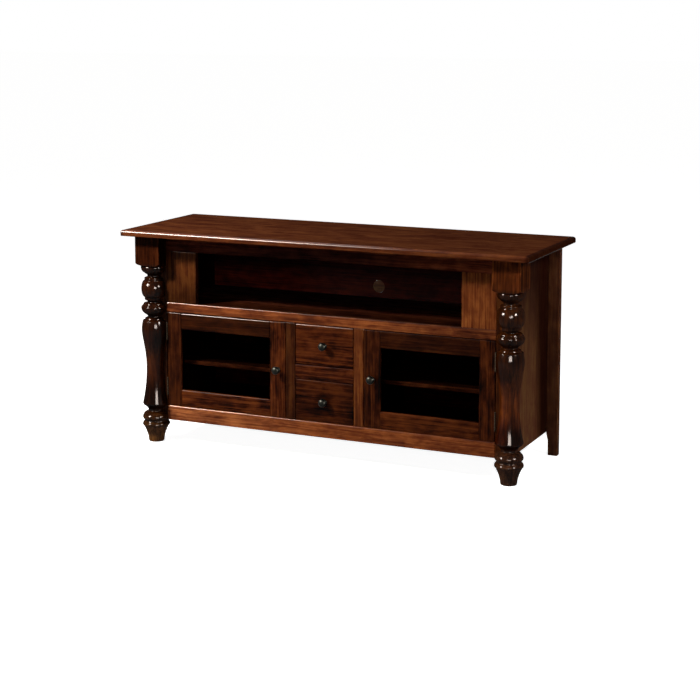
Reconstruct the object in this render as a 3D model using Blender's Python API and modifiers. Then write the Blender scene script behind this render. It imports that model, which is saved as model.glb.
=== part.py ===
"""Television cabinet with turned front legs, an open media compartment, two glass doors and two drawers.

X runs along the cabinet's width, Y from front to back and Z up. The origin is on the floor, under the
middle of the top board. Every length is in metres. Left and right are as seen from the front.

Each board is drawn between its nominal planes and then cut half a seam short on every face, so two
boards that meet stay one seam apart.
"""
import math

import bmesh
import bpy
from mathutils import Matrix, Vector

# Whole cabinet
CABINET_HEIGHT = 0.777
FLOOR_CLEARANCE = 0.082
SEAM = 0.0003
CUT_OVERRUN = 0.010

# Top board, which stands out past the legs' blocks at the front and sides and past the carcass at the back
TOP_WIDTH = 1.5204
TOP_DEPTH = 0.5142
TOP_THICKNESS = 0.022
TOP_FRONT_OVERHANG = 0.0365
TOP_SIDE_OVERHANG = 0.0370
TOP_REAR_OVERHANG = 0.0107
TOP_UPPER_EDGE_RADIUS = 0.0130
TOP_LIGHT_EDGE_RADIUS = 0.0030
TOP_EDGE_SEGMENTS = 5

# Front legs: a square block over a turned post, notched where the carcass corner stands on its axis
LEG_SIDE = 0.098
LEG_BLOCK_HEIGHT = 0.094
LEG_SHOULDER_HEIGHT = 0.016
LEG_EDGE_RADIUS = 0.0015

# Rear legs: flat posts on the outer faces of the side panels
REAR_LEG_WIDTH = 0.042
REAR_LEG_DEPTH = 0.0252
REAR_LEG_EDGE_RADIUS = 0.003
REAR_FOOT_TAPER = 0.006
REAR_FOOT_TAPER_HEIGHT = 0.034

# Carcass boards
SIDE_THICKNESS = 0.020
FACE_THICKNESS = 0.020
BOARD_THICKNESS = 0.018
BACK_THICKNESS = 0.006
BACK_INSET = 0.007
BOARD_EDGE_RADIUS = 0.0012

# Face frame; the media opening is what the rails and the upper stiles leave
TOP_RAIL_HEIGHT = 0.0561
BOTTOM_RAIL_HEIGHT = 0.053
MID_RAIL_HEIGHT = 0.0343
DRAWER_RAIL_HEIGHT = 0.0506
MULLION_WIDTH = 0.0365
UPPER_STILE_WIDTH = 0.1225
DRAWER_OPENING_WIDTH = 0.2228
LOWER_DRAWER_OPENING_HEIGHT = 0.1481
UPPER_DRAWER_OPENING_HEIGHT = 0.1448

# Cable hole in the back panel
CABLE_HOLE_DIAMETER = 0.047
CABLE_HOLE_OFFSET = 0.028
CABLE_HOLE_RISE = 0.0405
CABLE_HOLE_FACETS = 24

# Rail under the media shelf, which stops the doors and the upper drawer
STOP_RAIL_DEPTH = 0.025
STOP_RAIL_HEIGHT = 0.028

# Doors
DOOR_GAP = 0.002
DOOR_INNER_STILE_WIDTH = 0.0605
DOOR_OUTER_STILE_WIDTH = 0.0560
DOOR_RAIL_WIDTH = 0.0595
DOOR_EDGE_RADIUS = 0.0015
REBATE_WIDTH = 0.008
REBATE_FRONT_LIP = 0.008
GLASS_THICKNESS = 0.004
GLASS_PLAY = 0.0010
BEAD_WIDTH = 0.0075

# Butt hinges
HINGE_LENGTH = 0.064
HINGE_END_DISTANCE = 0.037
HINGE_LEAF_THICKNESS = 0.0009
HINGE_LEAF_DEPTH = 0.016
HINGE_LEAF_GAP = 0.0005
HINGE_KNUCKLE_RADIUS = 0.0022
HINGE_KNUCKLES = 5
HINGE_FACETS = 12

# Shelves behind the doors, let into grooves at both ends
SHELF_THICKNESS = 0.016
SHELF_SETBACK = 0.025
SHELF_HOUSING_DEPTH = 0.005
SHELF_RISE_SHARE = 0.455

# Drawers
DRAWER_GAP = 0.002
DRAWER_FRONT_THICKNESS = 0.020
DRAWER_BOX_HEIGHT = 0.122
DRAWER_SIDE_PLAY = 0.0007
DRAWER_BACK_PLAY = 0.002
DRAWER_SIDE_THICKNESS = 0.012
DRAWER_BOTTOM_THICKNESS = 0.006
DRAWER_BOTTOM_RISE = 0.009
DRAWER_GROOVE_DEPTH = 0.005

# Knobs, as shares of their diameter: distance out from the wood, radius
KNOB_DIAMETER = 0.0286
KNOB_FACETS = 16
KNOB_PROFILE_SHARES = (
    (0.850, 0.180), (0.820, 0.330), (0.750, 0.440), (0.660, 0.495), (0.560, 0.500), (0.480, 0.455),
    (0.420, 0.330), (0.340, 0.215), (0.200, 0.190), (0.110, 0.240), (0.070, 0.350),
)

# Turned part of a front leg, as shares of the length below its shoulder and of the block's side.
# Each row is a form, its lower end, its radius there and, for a bead, its widest radius:
#   bead   swells from the radius before it and comes back in to its own
#   cove   runs from the radius before it to its own, easing at both ends
#   round  runs from the radius before it to its own, easing out at the end
#   fall   runs like a cove that turns sooner
#   flare  runs from the radius before it to its own, easing in at the start
#   step   runs straight
LEG_FACETS = 24
LEG_SHOULDER_RADIUS_SHARE = 0.440
LEG_TURNING_SHARES = (
    ("bead", 0.0390, 0.370, 0.478),
    ("cove", 0.0560, 0.252),
    ("step", 0.0630, 0.252),
    ("cove", 0.0710, 0.360),
    ("step", 0.0850, 0.362),
    ("bead", 0.1780, 0.362, 0.478),
    ("step", 0.1920, 0.360),
    ("cove", 0.2030, 0.258),
    ("step", 0.2080, 0.258),
    ("cove", 0.2200, 0.385),
    ("bead", 0.2680, 0.380, 0.470),
    ("cove", 0.2850, 0.257),
    ("step", 0.2900, 0.257),
    ("cove", 0.3120, 0.442),
    ("round", 0.3628, 0.486),
    ("fall", 0.5752, 0.328),
    ("flare", 0.7798, 0.484),
    ("cove", 0.8150, 0.292),
    ("step", 0.8250, 0.285),
    ("step", 0.8290, 0.330),
    ("bead", 0.8720, 0.424, 0.484),
    ("step", 0.8800, 0.424),
    ("step", 0.8850, 0.440),
    ("bead", 0.9080, 0.466, 0.500),
    ("round", 0.9960, 0.270),
    ("step", 1.0000, 0.245),
)
LEG_BEAD_STEPS = 5
LEG_COVE_STEPS = 2
LEG_LONG_STEPS = 4
LEG_FALL_POWER = 0.78
LEG_FLARE_POWER = 2.0

# Finishes: base colour, roughness, metallic
WOOD_FINISH = ((0.085, 0.022, 0.009, 1.0), 0.28, 0.0)
LEG_FINISH = ((0.030, 0.009, 0.005, 1.0), 0.18, 0.0)
INNER_WOOD_FINISH = ((0.060, 0.020, 0.010, 1.0), 0.45, 0.0)
BOX_WOOD_FINISH = ((0.480, 0.300, 0.150, 1.0), 0.50, 0.0)
GLASS_FINISH = ((0.020, 0.022, 0.022, 0.35), 0.05, 0.0)
KNOB_FINISH = ((0.018, 0.014, 0.012, 1.0), 0.30, 0.8)
HINGE_FINISH = ((0.220, 0.150, 0.080, 1.0), 0.35, 0.9)

# Planes worked out from the sizes above
half_seam = SEAM / 2
front_y = -TOP_DEPTH / 2 + TOP_FRONT_OVERHANG + LEG_SIDE / 2
rear_y = TOP_DEPTH / 2 - TOP_REAR_OVERHANG
frame_back_y = front_y + FACE_THICKNESS
back_panel_y = rear_y - BACK_INSET - BACK_THICKNESS
outer_x = TOP_WIDTH / 2 - TOP_SIDE_OVERHANG - LEG_SIDE / 2
inner_side_x = outer_x - SIDE_THICKNESS
frame_inner_x = outer_x - LEG_SIDE / 2
media_opening_x = frame_inner_x - UPPER_STILE_WIDTH
drawer_half = DRAWER_OPENING_WIDTH / 2
mullion_outer_x = drawer_half + MULLION_WIDTH
partition_outer_x = drawer_half + BOARD_THICKNESS
carcass_top_z = CABINET_HEIGHT - TOP_THICKNESS
bottom_rail_top_z = FLOOR_CLEARANCE + BOTTOM_RAIL_HEIGHT
drawer_rail_z = bottom_rail_top_z + LOWER_DRAWER_OPENING_HEIGHT
drawer_rail_top_z = drawer_rail_z + DRAWER_RAIL_HEIGHT
mid_rail_z = drawer_rail_top_z + UPPER_DRAWER_OPENING_HEIGHT
mid_rail_top_z = mid_rail_z + MID_RAIL_HEIGHT
top_rail_z = carcass_top_z - TOP_RAIL_HEIGHT
media_shelf_z = mid_rail_top_z - BOARD_THICKNESS
bottom_board_z = bottom_rail_top_z - BOARD_THICKNESS
hinge_gap = HINGE_LEAF_GAP + 2 * HINGE_LEAF_THICKNESS + SEAM
hinge_x = frame_inner_x - hinge_gap / 2
hinge_y = front_y - HINGE_KNUCKLE_RADIUS - half_seam
shelf_top_z = bottom_rail_top_z + (media_shelf_z - bottom_rail_top_z) * SHELF_RISE_SHARE

SIDES = (("left", -1), ("right", 1))


# Scene, collections and materials

def clear_scene():
    for old in list(bpy.data.objects):
        bpy.data.objects.remove(old)


def new_collection(name):
    collection = bpy.data.collections.new(name)
    bpy.context.scene.collection.children.link(collection)
    return collection


def new_material(name, finish):
    color, roughness, metallic = finish
    material = bpy.data.materials.new(name)
    material.use_nodes = True
    shader = material.node_tree.nodes["Principled BSDF"]
    shader.inputs["Base Color"].default_value = color
    shader.inputs["Alpha"].default_value = color[3]
    shader.inputs["Roughness"].default_value = roughness
    shader.inputs["Metallic"].default_value = metallic
    material.diffuse_color = color
    return material


def add_axis(name, location):
    axis = bpy.data.objects.new(name, None)
    axis.location = location
    parts.objects.link(axis)
    return axis


# Shapes

def mirrored(side, span):
    return tuple(sorted(side * value for value in span))


def place(item, centre, finish, parent):
    """Puts an object at a world place, under the empty that carries it."""
    parts.objects.link(item)
    item.parent = parent
    item.location = centre - parent.location if parent else centre
    item.data.materials.append(new_material(item.name, finish))
    return item


def add_edge_rounding(item, radius, segments):
    if radius:
        bevel = item.modifiers.new("rounded_edges", "BEVEL")
        bevel.width = radius
        bevel.segments = segments
        bevel.limit_method = "ANGLE"


def add_board(name, x, y, z, finish, parent=None, radius=BOARD_EDGE_RADIUS, segments=1):
    """A board between nominal planes, cut half a seam short on every face."""
    low = Vector((min(x), min(y), min(z))) + Vector((half_seam,) * 3)
    high = Vector((max(x), max(y), max(z))) - Vector((half_seam,) * 3)
    mesh = bpy.data.meshes.new(name)
    shape = bmesh.new()
    bmesh.ops.create_cube(shape, size=1, matrix=Matrix.Diagonal((high - low).to_4d()))
    shape.to_mesh(mesh)
    shape.free()
    item = place(bpy.data.objects.new(name, mesh), (low + high) / 2, finish, parent)
    add_edge_rounding(item, radius, segments)
    return item


def add_cutter(name, mesh, location):
    cutter = bpy.data.objects.new(name, mesh)
    cutter.location = location
    cutter.hide_render = True
    cutter.display_type = "WIRE"
    cutters.objects.link(cutter)
    return cutter


def add_box_cutter(name, x, y, z):
    mesh = bpy.data.meshes.new(name)
    shape = bmesh.new()
    size = Matrix.Diagonal((max(x) - min(x), max(y) - min(y), max(z) - min(z), 1))
    bmesh.ops.create_cube(shape, size=1, matrix=size)
    shape.to_mesh(mesh)
    shape.free()
    centre = Vector((sum(x) / 2, sum(y) / 2, sum(z) / 2))
    return add_cutter(name, mesh, centre)


def add_round_cutter(name, centre, radius, depth, facets, along_y=False):
    """A cylinder along Z, or along Y."""
    mesh = bpy.data.meshes.new(name)
    shape = bmesh.new()
    bmesh.ops.create_cone(
        shape, cap_ends=True, segments=facets, radius1=radius, radius2=radius, depth=depth,
        matrix=Matrix.Rotation(math.radians(90 if along_y else 0), 4, "X"),
    )
    shape.to_mesh(mesh)
    shape.free()
    return add_cutter(name, mesh, centre)


def cut(item, cutter, operation="DIFFERENCE"):
    boolean = item.modifiers.new(cutter.name, "BOOLEAN")
    boolean.operation = operation
    boolean.object = cutter
    return item


def lathe_mesh(name, profile):
    """An open profile of (radius, height) points, from top to bottom on its outer side."""
    mesh = bpy.data.meshes.new(name)
    shape = bmesh.new()
    previous = None
    for radius, height in profile:
        vertex = shape.verts.new((radius, 0, height))
        if previous:
            shape.edges.new((previous, vertex))
        previous = vertex
    shape.to_mesh(mesh)
    shape.free()
    return mesh


def add_lathe(item, facets):
    screw = item.modifiers.new("turning", "SCREW")
    screw.steps = facets
    screw.render_steps = facets
    screw.use_merge_vertices = True
    screw.merge_threshold = half_seam / 10
    screw.use_smooth_shade = True
    return item


def add_extrusion(name, outline, depth, side, location, finish):
    """A flat outline of (out from the carcass, up) points, extruded by depth along Y."""
    curve = bpy.data.curves.new(name, "CURVE")
    curve.dimensions = "2D"
    curve.fill_mode = "BOTH"
    curve.extrude = depth / 2
    spline = curve.splines.new("POLY")
    spline.points.add(len(outline[1:]))
    for point, (across, up) in zip(spline.points, outline):
        point.co = (side * across, up, 0, 1)
    spline.use_cyclic_u = True
    guide = bpy.data.objects.new(name + "_outline", curve)
    parts.objects.link(guide)
    bpy.context.view_layer.update()
    evaluated = guide.evaluated_get(bpy.context.evaluated_depsgraph_get())
    mesh = bpy.data.meshes.new_from_object(evaluated)
    bpy.data.objects.remove(guide)
    shape = bmesh.new()
    shape.from_mesh(mesh)
    bmesh.ops.remove_doubles(shape, verts=shape.verts, dist=half_seam / 10)
    bmesh.ops.rotate(shape, verts=shape.verts, matrix=Matrix.Rotation(math.radians(90), 3, "X"))
    bmesh.ops.recalc_face_normals(shape, faces=shape.faces)
    shape.to_mesh(mesh)
    shape.free()
    return place(bpy.data.objects.new(name, mesh), location, finish, None)


# Turned legs

def turning_points(block_bottom_z):
    """The post's outline from the block's bottom to the floor, as (radius, height) points."""
    shoulder_z = block_bottom_z - LEG_SHOULDER_HEIGHT
    radius = LEG_SHOULDER_RADIUS_SHARE * LEG_SIDE
    corner_radius = LEG_SIDE / math.sqrt(2) + LEG_EDGE_RADIUS
    points = []
    for step in range(LEG_LONG_STEPS + 1):
        angle = math.pi / 2 * step / LEG_LONG_STEPS
        here = radius + (corner_radius - radius) * math.cos(angle)
        points.append((here, block_bottom_z - LEG_SHOULDER_HEIGHT * math.sin(angle)))
    share = 0
    for form, end_share, end_radius_share, *peak_share in LEG_TURNING_SHARES:
        change = end_radius_share * LEG_SIDE - radius
        steps = {"step": 1, "bead": LEG_BEAD_STEPS, "cove": LEG_COVE_STEPS}.get(form, LEG_LONG_STEPS)
        for step in range(1, steps + 1):
            part = step / steps
            if form == "bead":
                swell = peak_share[0] * LEG_SIDE - radius - change / 2
                down = (1 - math.cos(math.pi * part)) / 2
                here = radius + change * down + swell * math.sin(math.pi * part)
            else:
                down = part
                ease = {
                    "cove": (1 - math.cos(math.pi * part)) / 2,
                    "round": math.sin(math.pi / 2 * part),
                    "fall": (1 - math.cos(math.pi * part ** LEG_FALL_POWER)) / 2,
                    "flare": part ** LEG_FLARE_POWER,
                    "step": part,
                }[form]
                here = radius + change * ease
            points.append((here, shoulder_z - (share + (end_share - share) * down) * shoulder_z))
        share = end_share
        radius += change
    return points


def build_front_leg(label, side):
    """A turned post under a square block: the lathe's form shared with a square prism, then notched."""
    outline = turning_points(carcass_top_z - LEG_BLOCK_HEIGHT)
    top_z = carcass_top_z - half_seam
    profile = [(0, top_z), (outline[0][0], top_z)] + outline + [(0, 0)]
    axis = Vector((side * outer_x, front_y, 0))
    name = "front_leg_" + label
    leg = place(bpy.data.objects.new(name, lathe_mesh(name, profile)), axis, LEG_FINISH, None)
    add_lathe(leg, LEG_FACETS)
    reach = LEG_SIDE / 2
    prism = add_box_cutter(
        name + "_square",
        (axis.x - reach, axis.x + reach),
        (front_y - reach, front_y + reach),
        (-CUT_OVERRUN, CABINET_HEIGHT),
    )
    add_edge_rounding(prism, LEG_EDGE_RADIUS, 2)
    cut(leg, prism, "INTERSECT")
    notch = add_box_cutter(
        name + "_notch",
        mirrored(side, (outer_x - LEG_SIDE, outer_x + half_seam)),
        (front_y - half_seam, front_y + LEG_SIDE),
        (FLOOR_CLEARANCE - half_seam, CABINET_HEIGHT),
    )
    return cut(leg, notch)


def build_rear_leg(label, side):
    """A flat post whose foot narrows on the inner side, just under the carcass."""
    top_z = carcass_top_z - half_seam
    outline = [(REAR_LEG_WIDTH - SEAM, 0), (REAR_LEG_WIDTH - SEAM, top_z), (0, top_z)]
    for step in range(LEG_LONG_STEPS + 1):
        part = step / LEG_LONG_STEPS
        ease = (1 - math.cos(math.pi * part)) / 2
        outline.append((REAR_FOOT_TAPER * ease, FLOOR_CLEARANCE - REAR_FOOT_TAPER_HEIGHT * part))
    outline.append((REAR_FOOT_TAPER, 0))
    place_at = Vector((side * (outer_x + half_seam), rear_y - REAR_LEG_DEPTH / 2, 0))
    leg = add_extrusion(
        "rear_leg_" + label, outline, REAR_LEG_DEPTH - SEAM, side, place_at, WOOD_FINISH,
    )
    add_edge_rounding(leg, REAR_LEG_EDGE_RADIUS, 2)


# Carcass

def build_top():
    """The top board, with its upper edges rounded deeply and its lower and upright edges lightly."""
    top = add_board(
        "top_board", (-TOP_WIDTH / 2, TOP_WIDTH / 2), (-TOP_DEPTH / 2, TOP_DEPTH / 2),
        (carcass_top_z, CABINET_HEIGHT), WOOD_FINISH, radius=0,
    )
    corners = top.data.vertices
    weights = top.data.attributes.new("bevel_weight_edge", "FLOAT", "EDGE").data
    for edge in top.data.edges:
        upper = all(corners[corner].co.z > 0 for corner in edge.vertices)
        weights[edge.index].value = 1 if upper else TOP_LIGHT_EDGE_RADIUS / TOP_UPPER_EDGE_RADIUS
    bevel = top.modifiers.new("rounded_edges", "BEVEL")
    bevel.width = TOP_UPPER_EDGE_RADIUS
    bevel.segments = TOP_EDGE_SEGMENTS
    bevel.limit_method = "WEIGHT"


def build_face_frame():
    y = (front_y, frame_back_y)
    rails = (
        ("face_top_rail", frame_inner_x, top_rail_z, carcass_top_z),
        ("face_mid_rail", frame_inner_x, mid_rail_z, mid_rail_top_z),
        ("face_bottom_rail", frame_inner_x, FLOOR_CLEARANCE, bottom_rail_top_z),
        ("drawer_rail", drawer_half, drawer_rail_z, drawer_rail_top_z),
    )
    for name, reach, low_z, high_z in rails:
        add_board(name, (-reach, reach), y, (low_z, high_z), WOOD_FINISH)
    stiles = (
        ("end_stile_", frame_inner_x, outer_x, FLOOR_CLEARANCE, carcass_top_z),
        ("upper_stile_", media_opening_x, frame_inner_x, mid_rail_top_z, top_rail_z),
        ("mullion_", drawer_half, mullion_outer_x, bottom_rail_top_z, mid_rail_z),
    )
    for label, side in SIDES:
        for name, near_x, far_x, low_z, high_z in stiles:
            add_board(name + label, mirrored(side, (near_x, far_x)), y, (low_z, high_z), WOOD_FINISH)


def build_shelf(label, side):
    """A shelf behind a door, and the cutter of the grooves that take its ends."""
    x = (partition_outer_x - SHELF_HOUSING_DEPTH, inner_side_x + SHELF_HOUSING_DEPTH)
    y = (frame_back_y + SHELF_SETBACK, back_panel_y)
    z = (shelf_top_z - SHELF_THICKNESS, shelf_top_z)
    add_board("door_shelf_" + label, mirrored(side, x), y, z, WOOD_FINISH)
    return add_box_cutter(
        "housing_" + label,
        mirrored(side, (x[0] - half_seam, x[1] + half_seam)),
        (y[0] - half_seam, rear_y + CUT_OVERRUN),
        (z[0] - half_seam, z[1] + half_seam),
    )


def build_carcass():
    x = (-inner_side_x, inner_side_x)
    y = (frame_back_y, back_panel_y)
    stop_y = (frame_back_y, frame_back_y + STOP_RAIL_DEPTH)
    stop_z = media_shelf_z - STOP_RAIL_HEIGHT
    add_board("media_shelf", x, y, (media_shelf_z, mid_rail_top_z), WOOD_FINISH)
    add_board("bottom_board", x, y, (bottom_board_z, bottom_rail_top_z), INNER_WOOD_FINISH)
    add_board("stop_rail", x, stop_y, (stop_z, media_shelf_z), INNER_WOOD_FINISH)
    add_board(
        "drawer_divider", (-drawer_half, drawer_half), y, (drawer_rail_top_z - BOARD_THICKNESS, drawer_rail_top_z),
        INNER_WOOD_FINISH,
    )
    stop_notch = add_box_cutter(
        "stop_notch", x, (front_y, stop_y[1] + half_seam), (stop_z - half_seam, mid_rail_top_z),
    )
    for label, side in SIDES:
        housing = build_shelf(label, side)
        side_panel = add_board(
            "side_panel_" + label, mirrored(side, (inner_side_x, outer_x)), (frame_back_y, rear_y),
            (FLOOR_CLEARANCE, carcass_top_z), WOOD_FINISH,
        )
        partition = add_board(
            "partition_" + label, mirrored(side, (drawer_half, partition_outer_x)), y,
            (bottom_rail_top_z, media_shelf_z), INNER_WOOD_FINISH,
        )
        cut(side_panel, housing)
        cut(partition, housing)
        cut(partition, stop_notch)
    back = add_board(
        "back_panel", x, (back_panel_y, back_panel_y + BACK_THICKNESS), (bottom_board_z, carcass_top_z),
        INNER_WOOD_FINISH, radius=0,
    )
    hole_centre = Vector((CABLE_HOLE_OFFSET, back_panel_y + BACK_THICKNESS / 2, mid_rail_top_z + CABLE_HOLE_RISE))
    hole = add_round_cutter(
        "cable_hole", hole_centre, CABLE_HOLE_DIAMETER / 2, BACK_THICKNESS + CUT_OVERRUN, CABLE_HOLE_FACETS, True,
    )
    cut(back, hole)


# Doors

def add_hinge_leaf(name, side, on_door, middle_z, parent):
    """A leaf with every other knuckle of its hinge, and room for the other leaf's knuckles."""
    centre = Vector((side * hinge_x, hinge_y, middle_z))
    outward = -side if on_door else side
    near = HINGE_LEAF_GAP / 2
    mesh = bpy.data.meshes.new(name)
    shape = bmesh.new()
    low = Vector((outward * near, HINGE_KNUCKLE_RADIUS / 2, -HINGE_LENGTH / 2))
    high = Vector((
        outward * (near + HINGE_LEAF_THICKNESS), HINGE_KNUCKLE_RADIUS + HINGE_LEAF_DEPTH, HINGE_LENGTH / 2,
    ))
    size = Matrix.Diagonal((abs(high.x - low.x), high.y - low.y, high.z - low.z, 1))
    bmesh.ops.create_cube(shape, size=1, matrix=Matrix.Translation((low + high) / 2) @ size)
    shape.to_mesh(mesh)
    shape.free()
    leaf = place(bpy.data.objects.new(name, mesh), centre, HINGE_FINISH, parent)
    pitch = HINGE_LENGTH / HINGE_KNUCKLES
    reach = HINGE_KNUCKLE_RADIUS + SEAM
    for knuckle in range(HINGE_KNUCKLES):
        knuckle_z = middle_z - HINGE_LENGTH / 2 + pitch * knuckle + pitch / 2
        if (knuckle % 2 == 1) == on_door:
            barrel = add_round_cutter(
                f"{name}_knuckle_{knuckle}", Vector((centre.x, hinge_y, knuckle_z)), HINGE_KNUCKLE_RADIUS,
                pitch - SEAM, HINGE_FACETS,
            )
            cut(leaf, barrel, "UNION")
        else:
            room = add_box_cutter(
                f"{name}_room_{knuckle}", (centre.x - reach, centre.x + reach), (hinge_y - reach, hinge_y + reach),
                (knuckle_z - pitch / 2 - half_seam, knuckle_z + pitch / 2 + half_seam),
            )
            cut(leaf, room)
    return leaf


def add_knob(name, x, z, parent):
    profile = [(share * KNOB_DIAMETER, out_share * KNOB_DIAMETER) for out_share, share in KNOB_PROFILE_SHARES]
    profile = [(0, profile[0][1])] + profile + [(profile[-1][0], half_seam), (0, half_seam)]
    knob = place(bpy.data.objects.new(name, lathe_mesh(name, profile)), Vector((x, front_y, z)), KNOB_FINISH, parent)
    knob.rotation_euler = (math.radians(90), 0, 0)
    return add_lathe(knob, KNOB_FACETS)


def build_door(label, side):
    """A framed door with a glass pane in a rebate, held by a bead frame and hinged on the leg's side."""
    low_z = bottom_rail_top_z + DOOR_GAP
    high_z = mid_rail_z - DOOR_GAP
    near_x = mullion_outer_x + DOOR_GAP
    far_x = frame_inner_x - hinge_gap
    y = (front_y, frame_back_y)
    glass_x = (near_x + DOOR_INNER_STILE_WIDTH, far_x - DOOR_OUTER_STILE_WIDTH)
    glass_z = (low_z + DOOR_RAIL_WIDTH, high_z - DOOR_RAIL_WIDTH)
    rebate_x = (glass_x[0] - REBATE_WIDTH, glass_x[1] + REBATE_WIDTH)
    rebate_z = (glass_z[0] - REBATE_WIDTH, glass_z[1] + REBATE_WIDTH)
    pane_y = front_y + REBATE_FRONT_LIP
    bead_y = pane_y + GLASS_THICKNESS
    prefix = label + "_door_"
    axis = add_axis(prefix + "axis", Vector((side * hinge_x, hinge_y, 0)))
    members = (
        ("inner_stile", (near_x, glass_x[0]), (low_z, high_z)),
        ("outer_stile", (glass_x[1], far_x), (low_z, high_z)),
        ("bottom_rail", glass_x, (low_z, glass_z[0])),
        ("top_rail", glass_x, (glass_z[1], high_z)),
    )
    rebate = add_box_cutter(prefix + "rebate", mirrored(side, rebate_x), (pane_y, frame_back_y + CUT_OVERRUN), rebate_z)
    for name, x, z in members:
        member = add_board(prefix + name, mirrored(side, x), y, z, WOOD_FINISH, axis, DOOR_EDGE_RADIUS)
        cut(member, rebate)
    pane_x = mirrored(side, (rebate_x[0] + GLASS_PLAY, rebate_x[1] - GLASS_PLAY))
    pane_z = (rebate_z[0] + GLASS_PLAY, rebate_z[1] - GLASS_PLAY)
    add_board(prefix + "glass", pane_x, (pane_y, bead_y), pane_z, GLASS_FINISH, axis, radius=0)
    beads = add_board(
        prefix + "glass_beads", mirrored(side, rebate_x), (bead_y, frame_back_y), rebate_z, WOOD_FINISH, axis, radius=0,
    )
    window = add_box_cutter(
        prefix + "window",
        mirrored(side, (rebate_x[0] + BEAD_WIDTH, rebate_x[1] - BEAD_WIDTH)),
        (bead_y - CUT_OVERRUN, frame_back_y + CUT_OVERRUN),
        (rebate_z[0] + BEAD_WIDTH, rebate_z[1] - BEAD_WIDTH),
    )
    cut(beads, window)
    add_knob(prefix + "knob", side * (near_x + glass_x[0]) / 2, (low_z + high_z) / 2, axis)
    end_distance = HINGE_END_DISTANCE + HINGE_LENGTH / 2
    for level, middle_z in (("lower", low_z + end_distance), ("upper", high_z - end_distance)):
        add_hinge_leaf(f"{prefix}{level}_hinge_leaf", side, True, middle_z, axis)
        add_hinge_leaf(f"{label}_frame_{level}_hinge_leaf", side, False, middle_z, None)


# Drawers

def build_drawer(prefix, low_z, high_z):
    """An inset front on a box that slides on its sides' lower edges, guided by the partitions."""
    reach = drawer_half - DRAWER_GAP
    prefix = prefix + "_drawer_"
    axis = add_axis(prefix + "axis", Vector((0, front_y, (low_z + high_z) / 2)))
    front = add_board(
        prefix + "front", (-reach, reach), (front_y, frame_back_y), (low_z + DRAWER_GAP, high_z - DRAWER_GAP),
        WOOD_FINISH, axis, DOOR_EDGE_RADIUS,
    )
    outer = drawer_half - DRAWER_SIDE_PLAY
    inner = outer - DRAWER_SIDE_THICKNESS
    box_y = (frame_back_y, back_panel_y - DRAWER_BACK_PLAY)
    back_y = box_y[1] - DRAWER_SIDE_THICKNESS
    box_z = (low_z, low_z + DRAWER_BOX_HEIGHT)
    bottom_z = box_z[0] + DRAWER_BOTTOM_RISE
    bottom_x = (-inner - DRAWER_GROOVE_DEPTH, inner + DRAWER_GROOVE_DEPTH)
    bottom_y = (box_y[0] - DRAWER_GROOVE_DEPTH, back_y + DRAWER_GROOVE_DEPTH)
    groove = add_box_cutter(
        prefix + "groove",
        (bottom_x[0] - half_seam, bottom_x[1] + half_seam),
        (bottom_y[0] - half_seam, bottom_y[1] + half_seam),
        (bottom_z - half_seam, bottom_z + DRAWER_BOTTOM_THICKNESS + half_seam),
    )
    cut(front, groove)
    for label, side in SIDES:
        wall = add_board(prefix + "side_" + label, mirrored(side, (inner, outer)), box_y, box_z, BOX_WOOD_FINISH, axis)
        cut(wall, groove)
    back = add_board(prefix + "back", (-inner, inner), (back_y, box_y[1]), box_z, BOX_WOOD_FINISH, axis)
    cut(back, groove)
    add_board(
        prefix + "bottom", bottom_x, bottom_y, (bottom_z, bottom_z + DRAWER_BOTTOM_THICKNESS), BOX_WOOD_FINISH,
        axis, radius=0,
    )
    add_knob(prefix + "knob", 0, (low_z + high_z) / 2, axis)


clear_scene()
parts = new_collection("television_cabinet")
cutters = new_collection("cutters")
build_top()
build_face_frame()
build_carcass()
for side_label, side_sign in SIDES:
    build_front_leg(side_label, side_sign)
    build_rear_leg(side_label, side_sign)
    build_door(side_label, side_sign)
build_drawer("upper", drawer_rail_top_z, mid_rail_z)
build_drawer("lower", bottom_rail_top_z, drawer_rail_z)
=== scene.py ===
import math

import bmesh
import bpy
from mathutils import Matrix, Vector


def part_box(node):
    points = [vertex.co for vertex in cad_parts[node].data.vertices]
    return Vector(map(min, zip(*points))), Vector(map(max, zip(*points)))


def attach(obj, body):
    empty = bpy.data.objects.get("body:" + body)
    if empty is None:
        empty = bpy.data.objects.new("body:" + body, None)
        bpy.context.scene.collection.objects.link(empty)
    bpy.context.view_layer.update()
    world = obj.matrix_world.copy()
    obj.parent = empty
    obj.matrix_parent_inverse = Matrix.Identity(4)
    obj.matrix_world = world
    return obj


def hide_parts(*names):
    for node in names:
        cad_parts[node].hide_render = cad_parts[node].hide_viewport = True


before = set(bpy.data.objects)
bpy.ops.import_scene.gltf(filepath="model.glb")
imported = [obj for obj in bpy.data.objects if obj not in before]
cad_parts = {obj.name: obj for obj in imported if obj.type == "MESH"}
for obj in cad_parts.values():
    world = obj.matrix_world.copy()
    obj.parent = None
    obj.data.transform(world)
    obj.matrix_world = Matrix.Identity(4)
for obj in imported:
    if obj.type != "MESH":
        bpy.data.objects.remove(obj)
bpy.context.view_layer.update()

SIDES = {"left": -1, "right": 1}
HALF_SEAM = 0.00015  # half of the gap that the CAD leaves between boards that meet


# Camera, light and floor, in metres, degrees and linear colours

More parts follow.
